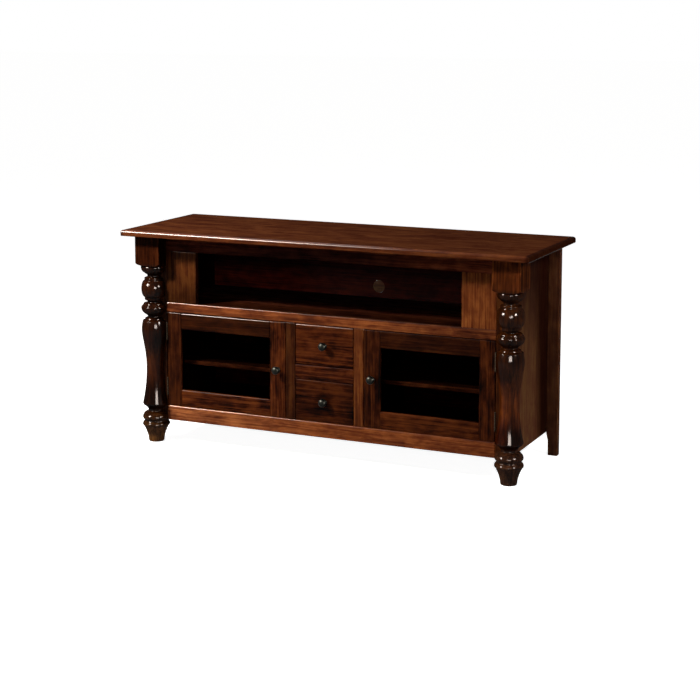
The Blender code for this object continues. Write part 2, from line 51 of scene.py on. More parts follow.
CAMERA_PLACE = (2.41358, -5.2306, 1.57471)
CAMERA_TILT = 82.39283
CAMERA_TURN = 24.59208
CAMERA_SENSOR = 36
CAMERA_LENS = 85.4475
CAMERA_SHIFT = -0.17857
CAMERA_REACH = 200
SOFT_LIGHT = (1.0, 0.97, 0.93)
CLOTH_LIGHT = (1.0, 0.87, 0.78)
AMBIENT = 0.05
FLOOR_REACH = 40
FLOOR_BOUNCE = (0.15, 0.145, 0.14)
FLOOR_SURFACE = (0.9, 0.9, 0.9)
FLOOR_GLOW = 0.95
LAMPS = (  # name, place, target, width and height, watts, and whether only gloss shows it
    ("key_softbox", (-1.6, -1.4, 2.1), (-0.1, -0.1, 0.4), (0.3, 0.3), 88, False),
    ("front_softbox", (0.9, -3.1, 1.25), (0.2, 0, 0.4), (0.4, 0.4), 5, False),
    ("right_softbox", (2.3, -0.6, 1.7), (0.6, 0, 0.4), (0.5, 0.5), 24, False),
    ("left_cloth", (-2.5, -3.0, 1.75), (0, -0.2, 0.5), (1.1, 1.1), 2000, True),
    ("right_cloth", (3.25, -1.45, 1.40), (0.6, -0.2, 0.5), (0.8, 0.6), 620, True),
    ("front_cloth", (2.0, -3.7, 0.80), (0, -0.2, 0.5), (1.6, 0.7), 720, True),
)


def look_at(item, target):
    item.rotation_euler = (Vector(target) - item.location).to_track_quat("-Z", "Y").to_euler()


def add_camera():
    data = bpy.data.cameras.new("photo_camera")
    data.sensor_width = CAMERA_SENSOR
    data.lens = CAMERA_LENS
    data.shift_y = CAMERA_SHIFT
    data.clip_end = CAMERA_REACH
    camera = bpy.data.objects.new("photo_camera", data)
    camera.location = CAMERA_PLACE
    camera.rotation_euler = (math.radians(CAMERA_TILT), 0, math.radians(CAMERA_TURN))
    bpy.context.scene.collection.objects.link(camera)
    bpy.context.scene.camera = camera


def add_softbox(name, location, target, size, power, gloss):
    """A soft lamp. One with gloss set shows only in gloss, and stands for a bright cloth of the photograph's lamps."""
    data = bpy.data.lights.new(name, "AREA")
    data.shape = "RECTANGLE"
    data.size, data.size_y = size
    data.energy = power
    data.color = CLOTH_LIGHT if gloss else SOFT_LIGHT
    lamp = bpy.data.objects.new(name, data)
    lamp.location = location
    look_at(lamp, target)
    lamp.visible_camera = False
    lamp.visible_diffuse = not gloss
    lamp.visible_glossy = gloss
    bpy.context.scene.collection.objects.link(lamp)


def backdrop_rays(tree):
    """1 for the rays that show the white background: those of the camera, of gloss and through glass."""
    path = tree.nodes.new("ShaderNodeLightPath")
    value = path.outputs["Is Camera Ray"]
    for name in ("Is Glossy Ray", "Is Transmission Ray"):
        seen = tree.nodes.new("ShaderNodeMath")
        seen.operation = "MAXIMUM"
        tree.links.new(value, seen.inputs[0])
        tree.links.new(path.outputs[name], seen.inputs[1])
        value = seen.outputs["Value"]
    return value


def add_world():
    """White behind the object and in its gloss, and a soft, low light on it."""
    world = bpy.data.worlds.new("studio")
    world.use_nodes = True
    tree = world.node_tree
    tree.nodes.clear()
    mix = tree.nodes.new("ShaderNodeMixShader")
    tree.links.new(backdrop_rays(tree), mix.inputs["Fac"])
    for socket, color, strength in ((mix.inputs[1], SOFT_LIGHT, AMBIENT), (mix.inputs[2], (1, 1, 1), 1.0)):
        source = tree.nodes.new("ShaderNodeBackground")
        source.inputs["Color"].default_value = (*color, 1)
        source.inputs["Strength"].default_value = strength
        tree.links.new(source.outputs["Background"], socket)
    out = tree.nodes.new("ShaderNodeOutputWorld")
    tree.links.new(mix.outputs["Shader"], out.inputs["Surface"])
    bpy.context.scene.world = world


def add_floor():
    """A pale floor: white in view, with the cabinet's soft shadow, and dimmer as a light on the object."""
    mesh = bpy.data.meshes.new("studio_floor")
    shape = bmesh.new()
    bmesh.ops.create_grid(shape, x_segments=1, y_segments=1, size=FLOOR_REACH)
    shape.to_mesh(mesh)
    shape.free()
    floor = bpy.data.objects.new("studio_floor", mesh)
    bpy.context.scene.collection.objects.link(floor)
    material = bpy.data.materials.new("pale_floor")
    material.use_nodes = True
    tree = material.node_tree
    tree.nodes.clear()
    bounce = tree.nodes.new("ShaderNodeBsdfDiffuse")
    bounce.inputs["Color"].default_value = (*FLOOR_BOUNCE, 1)
    pale = tree.nodes.new("ShaderNodeBsdfDiffuse")
    pale.inputs["Color"].default_value = (*FLOOR_SURFACE, 1)
    glow = tree.nodes.new("ShaderNodeEmission")
    glow.inputs["Strength"].default_value = FLOOR_GLOW
    both = tree.nodes.new("ShaderNodeAddShader")
    tree.links.new(pale.outputs["BSDF"], both.inputs[0])
    tree.links.new(glow.outputs["Emission"], both.inputs[1])
    mix = tree.nodes.new("ShaderNodeMixShader")
    tree.links.new(backdrop_rays(tree), mix.inputs["Fac"])
    tree.links.new(bounce.outputs["BSDF"], mix.inputs[1])
    tree.links.new(both.outputs["Shader"], mix.inputs[2])
    out = tree.nodes.new("ShaderNodeOutputMaterial")
    tree.links.new(mix.outputs["Shader"], out.inputs["Surface"])
    floor.data.materials.append(material)


bpy.context.scene.view_settings.view_transform = "Standard"
add_camera()
add_world()
add_floor()
for lamp in LAMPS:
    add_softbox(*lamp)


# Materials

# Where the coat changes, as components of the surface's direction in the piece's own axes
OFF_FLAT = (0.93, 0.995)
UPWARD = (0.15, 0.40)
DOWNWARD = (-0.25, -0.60)
ENDWARD = (0.25, 0.60)
END_COAT = 0.10
END_GLEAM = 0.34


class Tree:
    """A material's nodes, with short ways to make and join them."""

    def __init__(self, name):
        self.material = bpy.data.materials.new(name)
        self.material.use_nodes = True
        self.nodes = self.material.node_tree.nodes
        self.links = self.material.node_tree.links
        self.shader = self.nodes["Principled BSDF"]
        self.coordinates = self.nodes.new("ShaderNodeTexCoord").outputs
        self.axis = self.parts(self.coordinates["Object"])

    def parts(self, vector):
        """The X, Y and Z outputs of a vector."""
        split = self.nodes.new("ShaderNodeSeparateXYZ")
        self.links.new(vector, split.inputs["Vector"])
        return split.outputs

    def set(self, **values):
        for name, value in values.items():
            self.shader.inputs[name.replace("_", " ")].default_value = value

    def noise(self, scale, detail, roughness, distortion, shift):
        """Noise with scale waves per metre on each axis, moved by shift so that no two materials match."""
        mapping = self.nodes.new("ShaderNodeMapping")
        mapping.inputs["Scale"].default_value = scale
        mapping.inputs["Location"].default_value = (shift, shift * 1.7, shift * 2.3)
        self.links.new(self.coordinates["Object"], mapping.inputs["Vector"])
        noise = self.nodes.new("ShaderNodeTexNoise")
        noise.inputs["Scale"].default_value = 1.0
        noise.inputs["Detail"].default_value = detail
        noise.inputs["Roughness"].default_value = roughness
        noise.inputs["Distortion"].default_value = distortion
        self.links.new(mapping.outputs["Vector"], noise.inputs["Vector"])
        return noise.outputs["Fac"]

    def math(self, operation, first, second):
        node = self.nodes.new("ShaderNodeMath")
        node.operation = operation
        for socket, value in zip(node.inputs, (first, second)):
            if isinstance(value, bpy.types.NodeSocket):
                self.links.new(value, socket)
            else:
                socket.default_value = value
        return node.outputs["Value"]

    def mean(self, *weighted):
        total = None
        for socket, weight in weighted:
            part = self.math("MULTIPLY", socket, weight)
            total = part if total is None else self.math("ADD", total, part)
        return total

    def ramp(self, value, stops):
        node = self.nodes.new("ShaderNodeValToRGB")
        band = node.color_ramp
        while len(band.elements) < len(stops):
            band.elements.new(0.5)
        for element, (position, color) in zip(band.elements, stops):
            element.position = position
            element.color = (*color, 1)
        self.links.new(value, node.inputs["Fac"])
        return node.outputs["Color"]

    def span(self, value, low, high, new_low, new_high):
        node = self.nodes.new("ShaderNodeMapRange")
        for name, number in (("From Min", low), ("From Max", high), ("To Min", new_low), ("To Max", new_high)):
            node.inputs[name].default_value = number
        self.links.new(value, node.inputs["Value"])
        return node.outputs["Result"]

    def mix(self, factor, first, second, blend="MIX"):
        node = self.nodes.new("ShaderNodeMix")
        node.data_type = "RGBA"
        node.blend_type = blend
        for name, value in (("Factor", factor), ("A", first), ("B", second)):
            socket = next(s for s in node.inputs if s.name == name and s.type in ("RGBA", "VALUE") and s.enabled)
            if isinstance(value, bpy.types.NodeSocket):
                self.links.new(value, socket)
            else:
                socket.default_value = value
        return next(s for s in node.outputs if s.type == "RGBA" and s.enabled)

    def feed(self, name, socket):
        self.links.new(socket, self.shader.inputs[name])

    def shaded(self, shade):
        """The colour that a shade gives: three factors for red, green and blue, or a fade between two shades."""
        if not isinstance(shade[1], tuple):
            return (*shade, 1)
        direction, (start, first), (end, last) = shade
        along = self.mean(*((self.axis[name], weight) for name, weight in zip("XYZ", direction) if weight))
        return self.mix(self.span(along, start, end, 0, 1), self.shaded(first), self.shaded(last))

    def coat(self, flat, edge, roughness, ends, lustre, refraction):
        """A thin coat of lacquer, fuller on the rounded edges that look up.

        With ends set it is thin on end grain, but for a gleam on its lower edge. lustre is a shade that varies the
        fuller coat over the board.
        """
        tilt = self.parts(self.coordinates["Normal"])
        x, y, z = (self.math("ABSOLUTE", tilt[name], 0) for name in "XYZ")
        most = self.math("MAXIMUM", self.math("MAXIMUM", x, y), z)
        rounded = self.math("MULTIPLY", self.span(most, *OFF_FLAT, 1, 0), self.span(tilt["Z"], *UPWARD, 0, 1))
        if lustre:
            rounded = self.math("MULTIPLY", rounded, self.shaded(lustre))
        weight = self.span(rounded, 0, 1, flat, edge)
        if ends:
            gleam = self.math("MULTIPLY", self.span(tilt["Z"], *DOWNWARD, 0, END_GLEAM), self.span(x, *ENDWARD, 0, 1))
            weight = self.math("ADD", self.math("MULTIPLY", weight, self.span(x, *ENDWARD, 1.0, END_COAT)), gleam)
        self.feed("Coat Weight", weight)
        self.set(Specular_IOR_Level=0.0, Coat_Roughness=roughness, Coat_IOR=refraction)

    def bump(self, height, strength, distance):
        node = self.nodes.new("ShaderNodeBump")
        node.inputs["Strength"].default_value = strength
        node.inputs["Distance"].default_value = distance
        self.links.new(height, node.inputs["Height"])
        self.feed("Normal", node.outputs["Normal"])


def scaled(color, factor):
    return tuple(channel * factor for channel in color)


def even(factor):
    return (factor, factor, factor)


def stained(color, factor, warmth):
    """color times factor, with its green pushed by warmth: light streaks are yellower than dark ones."""
    return color[0] * factor, color[1] * factor * warmth, color[2] * factor


def fade(direction, start, first, end, last):
    """A shade that goes from the shade first to the shade last between two places along direction, in metres."""
    return direction, (start, first), (end, last)


# Place in the figure, change of brightness for a contrast of 1, and warmth
WOOD_TONES = ((0.40, -1.30, 0.86), (0.46, -0.62, 0.94), (0.50, 0.0, 1.0), (0.54, 0.75, 1.08), (0.61, 1.90, 1.18))
SHIFT_STEP = 1.7
PORES = (0.30, 0.46)
PORE_DARKNESS = 0.40
PORE_STAIN = (0.30, 0.8)
END_FADE = (-0.016, -0.006)
END_DARKNESS = 0.72
END_STAIN = (0.16, 0.8)
FIGURE = (0.40, 0.60)  # where the figure's noise mostly lies
WOOD_ROUGHNESS = (0.62, 0.48)
WOOD_GRAIN_HEIGHT = 0.0004


def wood(
    name, color, grain, contrast=0.56, roughness=0.22, gloss=0.021, edge=0.21,
    ends=None, shade=None, lustre=None, refraction=1.5, relief=0.12,
):
    """Stained wood under a thin coat of lacquer: fine streaks along the grain, a cloudy figure and dark pores.

    gloss and edge are the coat's weight on flat faces and on rounded edges, and lustre varies the latter over the
    board. roughness and refraction are the coat's.
    ends darkens the end grain beyond that half width. shade multiplies the stain by slow changes over the board, most
    of them painted light and shade.
    relief is how much the grain stands out to the touch: on the brightest edges it would break the gloss up.
    """
    tree = Tree(name)
    shift = SHIFT_STEP * len(bpy.data.materials)

    def along(across, length):
        return tuple(length if axis == grain else across for axis in "XYZ")

    streaks = tree.noise(along(120, 4.0), 4, 0.62, 0.35, shift)
    lines = tree.noise(along(260, 9.0), 3, 0.6, 0.15, shift)
    cloud = tree.noise(along(15, 6), 3, 0.55, 0.9, shift)
    mottle = tree.noise(along(48, 26), 2, 0.5, 0.5, shift)
    pores = tree.noise(along(1300, 60), 2, 0.5, 0.0, shift)
    figure = tree.mean((streaks, 0.36), (lines, 0.22), (cloud, 0.28), (mottle, 0.14))
    tone = tree.ramp(figure, tuple(
        (place, stained(color, 1 + change * contrast, warmth)) for place, change, warmth in WOOD_TONES
    ))
    tone = tree.mix(tree.span(pores, *PORES, PORE_DARKNESS, 0.0), tone, (*stained(color, *PORE_STAIN), 1))
    if ends:
        across = tree.math("ABSOLUTE", tree.axis["X"], 0)
        on_end = tree.span(across, ends + END_FADE[0], ends + END_FADE[1], 0.0, END_DARKNESS)
        tone = tree.mix(on_end, tone, (*stained(color, *END_STAIN), 1))
    # slow changes multiplied into the stain, most of them painted light and shade
    if shade:
        tone = tree.mix(1.0, tone, tree.shaded(shade), "MULTIPLY")
    tree.feed("Base Color", tone)
    tree.feed("Roughness", tree.span(figure, *FIGURE, *WOOD_ROUGHNESS))
    tree.bump(tree.mean((lines, 0.5), (pores, 0.5)), relief, WOOD_GRAIN_HEIGHT)
    tree.coat(gloss, edge, roughness, ends, lustre, refraction)
    return tree.material


LEG_GRAIN = (
    (0.39, (0.11, 0.10, 0.11)), (0.50, (0.33, 0.33, 0.33)), (0.56, (0.57, 0.60, 0.57)), (0.64, (0.87, 0.93, 0.87)),
)
LEG_GRAIN_LIFT = 3  # since the grain's middle tone is a third
LEG_ROUGHNESS = (0.60, 0.45)
LEG_RELIEF, LEG_GRAIN_HEIGHT = 0.04, 0.0003
LEG_COAT_ROUGHNESS, LEG_REFRACTION = 0.10, 2.0
# Painted shade on the leg block's left and right sides: how far a face turns sideways, how dark, and where it starts
BLOCK_SIDE = (0.75, 0.95)
BLOCK_SIDE_PAINTED_SHADE = 0.64
BLOCK_SIDE_START = (0.644, 0.662)
BLOCK_COAT_START = (0.650, 0.656)
TURNING_COAT, BLOCK_COAT = 0.024, 0.0045


def turned_wood(name, tones, shade):
    """The legs' darker, glossier finish, with a tone for each height, painted light and shade over it, and painted
    shade on the block's left and right sides.
    """
    tree = Tree(name)
    shift = SHIFT_STEP * len(bpy.data.materials)
    streaks = tree.noise((110, 110, 5), 4, 0.6, 0.5, shift)
    lines = tree.noise((300, 300, 11), 3, 0.6, 0.2, shift)
    cloud = tree.noise((17, 17, 8), 3, 0.55, 0.9, shift)
    figure = tree.mean((streaks, 0.42), (lines, 0.24), (cloud, 0.34))
    grain = tree.ramp(figure, LEG_GRAIN)
    height = tree.axis["Z"]
    base = tree.ramp(height, tuple((level, scaled(tone, LEG_GRAIN_LIFT)) for level, tone in tones))
    tone = tree.mix(1.0, tree.mix(1.0, base, grain, "MULTIPLY"), tree.shaded(shade), "MULTIPLY")
    # painted shade on the block's sides that face left and right
    sideways = tree.math("ABSOLUTE", tree.parts(tree.coordinates["Normal"])["X"], 0)
    on_side = tree.span(sideways, *BLOCK_SIDE, 0, BLOCK_SIDE_PAINTED_SHADE)
    block_side_shade = tree.math("MULTIPLY", on_side, tree.span(height, *BLOCK_SIDE_START, 0, 1))
    tree.feed("Base Color", tree.mix(block_side_shade, tone, (0, 0, 0, 1)))
    tree.feed("Roughness", tree.span(figure, *FIGURE, *LEG_ROUGHNESS))
    tree.bump(lines, LEG_RELIEF, LEG_GRAIN_HEIGHT)
    tree.feed("Coat Weight", tree.span(height, *BLOCK_COAT_START, TURNING_COAT, BLOCK_COAT))
    tree.set(Specular_IOR_Level=0.0, Coat_Roughness=LEG_COAT_ROUGHNESS, Coat_IOR=LEG_REFRACTION)
    return tree.material


def metal(name, color, roughness, grime):
    """Dark metal with a cloudy tone, down to grime times its colour, and a fine grain."""
    tree = Tree(name)
    cloud = tree.noise((160, 160, 160), 3, 0.6, 0.4, 2.2)
    fine = tree.noise((900, 900, 900), 2, 0.5, 0.0, 4.4)
    tree.feed("Base Color", tree.ramp(cloud, ((0.35, scaled(color, grime)), (0.62, color))))
    tree.feed("Roughness", tree.span(cloud, 0.3, 0.7, roughness + 0.08, roughness - 0.05))
    tree.bump(fine, 0.08, 0.0002)
    tree.set(Metallic=1.0)
    return tree.material


GLASS_SHEEN_START = 0.60  # 0 where the pane faces the view and 1 edge-on
GLASS_SHEEN = 0.8
GLASS_BODY = (0.004, 0.004, 0.004)


def clear_glass(name, tint):
    """Thin smoky pane glass: see-through, with a sheen that grows towards its edge-on view."""
    tree = Tree(name)
    tree.set(Base_Color=(*GLASS_BODY, 1), Specular_IOR_Level=0.3, Roughness=0.15)
    through = tree.nodes.new("ShaderNodeBsdfTransparent")
    through.inputs["Color"].default_value = (*tint, 1)
    facing = tree.nodes.new("ShaderNodeLayerWeight")
    facing.inputs["Blend"].default_value = 0.5
    mix = tree.nodes.new("ShaderNodeMixShader")
    tree.links.new(tree.span(facing.outputs["Facing"], GLASS_SHEEN_START, 1.0, 0.0, GLASS_SHEEN), mix.inputs["Fac"])
    tree.links.new(through.outputs["BSDF"], mix.inputs[1])
    tree.links.new(tree.shader.outputs["BSDF"], mix.inputs[2])
    tree.links.new(mix.outputs["Shader"], tree.nodes["Material Output"].inputs["Surface"])
    return tree.material


# Stains and metals, in linear colours

RAIL = (0.195, 0.048, 0.0140)
STILE = (0.160, 0.042, 0.0110)
DOOR = (0.050, 0.0105, 0.0026)
DRAWER = (0.058, 0.0115, 0.0028)
TOP = (0.074, 0.0200, 0.0074)
SIDE = (0.068, 0.0165, 0.0048)
REAR_LEG = (0.098, 0.0320, 0.0140)
INNER = (0.040, 0.0092, 0.0036)
BACK = (0.096, 0.0145, 0.0080)
BOX = (0.480, 0.300, 0.150)
# painted backdrop: the dim, shaded background seen through the cable hole
PAINTED_BACKDROP = (0.45, 0.19, 0.08)
KNOB = (0.0046, 0.0051, 0.0044)
HINGE = (0.012, 0.009, 0.006)
SMOKE = (0.62, 0.63, 0.62)

# Each board's tone, times its stain. The door shelves' high tone is painted light on their front edge, and the top
# rail's low tone is partly painted shade under the top.
TONES = {
    "face_top_rail": 0.45, "face_mid_rail": 0.95, "face_bottom_rail": 1.22, "drawer_rail": 1.06,
    "left_door_outer_stile": 0.64, "left_door_inner_stile": 1.38,
    "left_door_top_rail": 0.55, "left_door_bottom_rail": 1.25,
    "right_door_inner_stile": 0.82, "right_door_outer_stile": 1.20,
    "right_door_top_rail": 0.51, "right_door_bottom_rail": 1.02,
    "mullion_left": 0.33, "mullion_right": 0.85, "upper_stile_left": 0.34, "upper_stile_right": 1.40,
    "end_stile_left": 0.22, "end_stile_right": 0.40, "upper_drawer_front": 0.94, "lower_drawer_front": 0.64,
    "door_shelf_left": 6.0, "door_shelf_right": 6.0, "media_shelf": 0.9,
}

# Painted light and shade: slow changes of brightness over a board, where light and shadow fell on the object,
# multiplied into its stain. The back panel's back face keeps a plain stain.
ALONG_X, ALONG_Y, ALONG_Z = (1, 0, 0), (0, 1, 0), (0, 0, 1)
LEANING_BACK = (0, 1, 0.08)
PAINTED_SHADES = {
    "face_top_rail": fade(
        ALONG_X, 0.0, fade(ALONG_X, -0.40, (0.82, 0.66, 1.2), -0.15, (0.42, 0.36, 0.9)),
        0.05, fade(ALONG_X, 0.15, (0.62, 0.54, 1.2), 0.50, (2.0, 1.75, 2.6)),
    ),
    "face_mid_rail": fade(
        ALONG_Z, 0.5116, fade(ALONG_X, 0.0, even(1.08), 0.50, even(0.80)), 0.5123, (0.22, 0.25, 0.30),
    ),
    "face_bottom_rail": fade(ALONG_X, -0.50, (1.18, 1.36, 1.6), 0.0, even(0.86)),
    "upper_stile_left": fade(ALONG_Z, 0.54, even(0.60), 0.67, even(1.50)),
    # painted floor light on the side panel's lower front, and painted shade towards its top and back
    "side_panel": fade(
        LEANING_BACK, 0.105, fade(
            ALONG_Z, 0.40, fade(ALONG_Z, 0.14, (2.3, 3.5, 4.9), 0.40, (1.80, 2.8, 3.7)), 0.65, (0.42, 0.44, 0.54),
        ),
        0.180, (0.34, 0.34, 0.62),
    ),
    "media_shelf": fade(
        ALONG_Y, -0.075, fade(ALONG_Y, -0.15, even(0.34), -0.075, even(0.70)),
        -0.01, fade(ALONG_Y, 0.04, (3.2, 3.3, 4.2), 0.08, (1.6, 2.2, 4.0)),
    ),
    "back_panel": fade(
        ALONG_Y, 0.2345, fade(
            ALONG_Z, 0.56, fade(ALONG_X, -0.2, (2.3, 1.3, 1.1), 0.1, (1.1, 0.55, 0.6)), 0.61, (0.48, 0.34, 0.7),
        ),
        0.2385, (0.65, 1.10, 0.75),
    ),
}
TOP_LUSTRE = fade(
    ALONG_X, 0.16, fade(ALONG_X, -0.60, even(0.36), -0.10, even(0.74)),
    0.36, fade(ALONG_X, 0.38, even(0.11), 0.70, even(0.03)),
)

# The legs' tones by height, and their changes, partly painted light and shade: the lighter feet are painted light
# from the floor, the right waist is browner and partly painted light, and the changes paint lighter and darker
# bands by height and, on the right leg, a painted lit side on the vase top and a painted shaded side on the
# lower waist.
LEG_TONES = {
    "left": (
        (0.00, (0.052, 0.0190, 0.0045)), (0.055, (0.050, 0.0180, 0.0042)), (0.065, (0.018, 0.0060, 0.0012)),
        (0.14, (0.0120, 0.0026, 0.0004)),
        (0.19, (0.0130, 0.0028, 0.0005)), (0.23, (0.030, 0.0056, 0.0006)), (0.30, (0.032, 0.0064, 0.0008)),
        (0.35, (0.0125, 0.0027, 0.0005)), (0.645, (0.0155, 0.0036, 0.0008)), (0.66, (0.029, 0.0062, 0.0018)),
    ),
    "right": (
        (0.00, (0.044, 0.0165, 0.0055)), (0.11, (0.036, 0.0130, 0.0045)), (0.14, (0.026, 0.0056, 0.0010)),
        (0.19, (0.034, 0.0062, 0.0010)), (0.24, (0.068, 0.0135, 0.0018)), (0.31, (0.072, 0.0150, 0.0022)),
        (0.36, (0.036, 0.0086, 0.0014)), (0.42, (0.022, 0.0050, 0.0008)), (0.645, (0.028, 0.0068, 0.0012)),
        (0.66, (0.108, 0.0255, 0.0060)),
    ),
}
LEG_PAINTED_SHADES = {
    "left": fade(
        ALONG_Z, 0.12, even(1.65), 0.15, fade(
            ALONG_Z, 0.16, even(0.75), 0.24, fade(
                ALONG_Z, 0.34, even(1.0), 0.37, fade(ALONG_Z, 0.38, (0.75, 0.6, 0.8), 0.42, even(1.05)),
            ),
        ),
    ),
    "right": fade(
        ALONG_Z, 0.12, (0.95, 0.85, 1.0), 0.15, fade(
            ALONG_Z, 0.17, fade(ALONG_X, 0.672, (0.95, 0.7, 0.8), 0.692, even(0.35)), 0.24, fade(
                ALONG_Z, 0.33, even(1.1), 0.36, fade(
                    ALONG_Z, 0.39, fade(ALONG_X, 0.668, (0.7, 0.6, 0.7), 0.690, even(1.6)), 0.42, even(1.05),
                ),
            ),
        ),
    ),
}

inner_wood = wood("inner_wood", INNER, "X", 0.35, 0.4, 0.0, 0.0)
inner_upright_wood = wood("inner_upright_wood", INNER, "Z", 0.35, 0.4, 0.0, 0.0)
box_wood = wood("box_wood", BOX, "Y", 0.16, 0.4, 0.04, 0.08)
box_cross_wood = wood("box_cross_wood", BOX, "X", 0.16, 0.4, 0.04, 0.08)
bead_wood = wood("bead_wood", scaled(DOOR, 0.6), "X", 0.4)
back_wood = wood("back_wood", BACK, "X", 0.35, 0.4, 0.006, 0.0, shade=PAINTED_SHADES["back_panel"])
knob_metal = metal("knob_metal", KNOB, 0.33, 0.45)
hinge_metal = metal("hinge_metal", HINGE, 0.42, 0.4)
pane_glass = clear_glass("pane_glass", SMOKE)


# Shapes

EDGE_RADIUS = 0.0022
FULL_EDGE_RADIUS = 0.0034  # on the two boards whose upper edge shines in the photograph
EDGE_SEGMENTS = 4


def new_object(name, mesh):
    item = bpy.data.objects.new(name, mesh)
    bpy.context.scene.collection.objects.link(item)
    return item


def baked(item, *extras):
    """item with its modifiers applied. The objects that they used are removed."""
    bpy.context.view_layer.update()
    depsgraph = bpy.context.evaluated_depsgraph_get()
    mesh = bpy.data.meshes.new_from_object(item.evaluated_get(depsgraph))
    item.modifiers.clear()
    item.data = mesh
    for extra in extras:
        bpy.data.objects.remove(extra)
    return item


def smooth(item, angle=50):
    """Smooth shading that keeps flat faces flat and sharp corners sharp."""
    mesh = item.data
    mesh.shade_smooth()
    mesh.set_sharp_from_angle(angle=math.radians(angle))
    normals = item.modifiers.new("flat_faces", "WEIGHTED_NORMAL")
    normals.keep_sharp = True
    normals.weight = 80
    return item


def box_object(name, low, high):
    low, high = Vector(low), Vector(high)
    mesh = bpy.data.meshes.new(name)
    shape = bmesh.new()
    matrix = Matrix.Translation((low + high) / 2) @ Matrix.Diagonal((high - low).to_4d())
    bmesh.ops.create_cube(shape, size=1, matrix=matrix)
    shape.to_mesh(mesh)
    shape.free()
    return new_object(name, mesh)


def round_edges(item, radius, segments=EDGE_SEGMENTS, limit="ANGLE"):
    bevel = item.modifiers.new("rounded_edges", "BEVEL")
    bevel.width = radius
    bevel.segments = segments
    bevel.limit_method = limit


def cut(item, cutter, operation="DIFFERENCE"):
    boolean = item.modifiers.new(cutter.name, "BOOLEAN")
    boolean.operation = operation
    boolean.object = cutter


def finish_piece(item, node, body, material):
    item.data.materials.clear()
    item.data.materials.append(material)
    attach(item, body)
    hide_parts(node)
    return item


def board(node, body, color, grain, radius=EDGE_RADIUS, cuts=(), **finish):
    """A board in the node's own box, with rounded edges, less the boxes in cuts, in a wood of its own."""
    item = box_object(node + "_board", *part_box(node))
    round_edges(item, radius)
    cutters = [box_object(f"{node}_cut_{n}", *cutter) for n, cutter in enumerate(cuts)]
    for cutter in cutters:
        cut(item, cutter)
    material = wood(node + "_wood", scaled(color, TONES.get(node, 1.0)), grain, **finish)
    return finish_piece(smooth(baked(item, *cutters)), node, body, material)


def grown(box, amount, high=(0, 0, 0)):
    """box grown by amount all round, and further by high at its upper end."""
    step = Vector((amount,) * 3)
    return Vector(box[0]) - step, Vector(box[1]) + step + Vector(high)


def lathe_object(name, profile, facets, matrix):
    """A closed turning about Z of (radius, height) points from the top to the bottom, then placed by matrix."""
    mesh = bpy.data.meshes.new(name)
    shape = bmesh.new()
    rings = []
    for radius, height in profile:
        if radius < 1e-6:
            rings.append([shape.verts.new((0, 0, height))])
        else:
            rings.append([
                shape.verts.new((radius * math.cos(turn), radius * math.sin(turn), height))
                for turn in (math.tau * step / facets for step in range(facets))
            ])
    for upper, lower in zip(rings, rings[1:]):
        for step in range(facets):
            after = (step + 1) % facets
            corners = [
                upper[step % len(upper)], lower[step % len(lower)],
                lower[after % len(lower)], upper[after % len(upper)],
            ]
            corners = list(dict.fromkeys(corners))
            if len(corners) > 2:
                shape.faces.new(corners)
    bmesh.ops.transform(shape, matrix=matrix, verts=shape.verts)
    bmesh.ops.recalc_face_normals(shape, faces=shape.faces)
    shape.to_mesh(mesh)
    shape.free()
    return new_object(name, mesh)


# Top, face frame and carcass

TOP_EDGE_RADIUS = 0.0085
TOP_EDGE_SEGMENTS = 12
TOP_LIGHT_EDGE = 0.35  # of that radius
TOP_FRONT_TONE = (1.45, 1.35, 1.2)
HOUSING_OVERRUN = 0.03  # behind the shelf: its groove runs out of the panel's back
# the door shelf behind its front edge, which is painted light
SHELF_FACE_TONE = 0.22
# The coat on flat faces and on rounded edges
RAIL_COATS = {"face_top_rail": (0.004, 0.06), "face_mid_rail": (0.029, 0.52), "face_bottom_rail": (0.029, 0.35)}
STILE_COATS = {"end_stile_": (0.021, 0.21), "upper_stile_": (0.012, 0.01), "mullion_": (0.021, 0.21)}


def top_board():
    """The top: its upper edges have a deep round, and its other edges a light one."""
    low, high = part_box("top_board")
    item = box_object("top_board_board", low, high)
    corners = item.data.vertices
    weights = item.data.attributes.new("bevel_weight_edge", "FLOAT", "EDGE").data
    middle = sum(corner.co.z for corner in corners) / len(corners)
    for edge in item.data.edges:
        upper = all(corners[n].co.z > middle for n in edge.vertices)
        weights[edge.index].value = 1 if upper else TOP_LIGHT_EDGE
    round_edges(item, TOP_EDGE_RADIUS, TOP_EDGE_SEGMENTS, "WEIGHT")
    material = wood(
        "top_board_wood", TOP, "X", 0.36, 0.24, 0.0025, 1.0,
        ends=high[0], lustre=TOP_LUSTRE, refraction=1.8, relief=0.03,
        shade=fade(ALONG_Y, low[1] + 0.002, TOP_FRONT_TONE, low[1] + 0.010, even(1.0)),
    )
    finish_piece(smooth(baked(item)), "top_board", "cabinet", material)


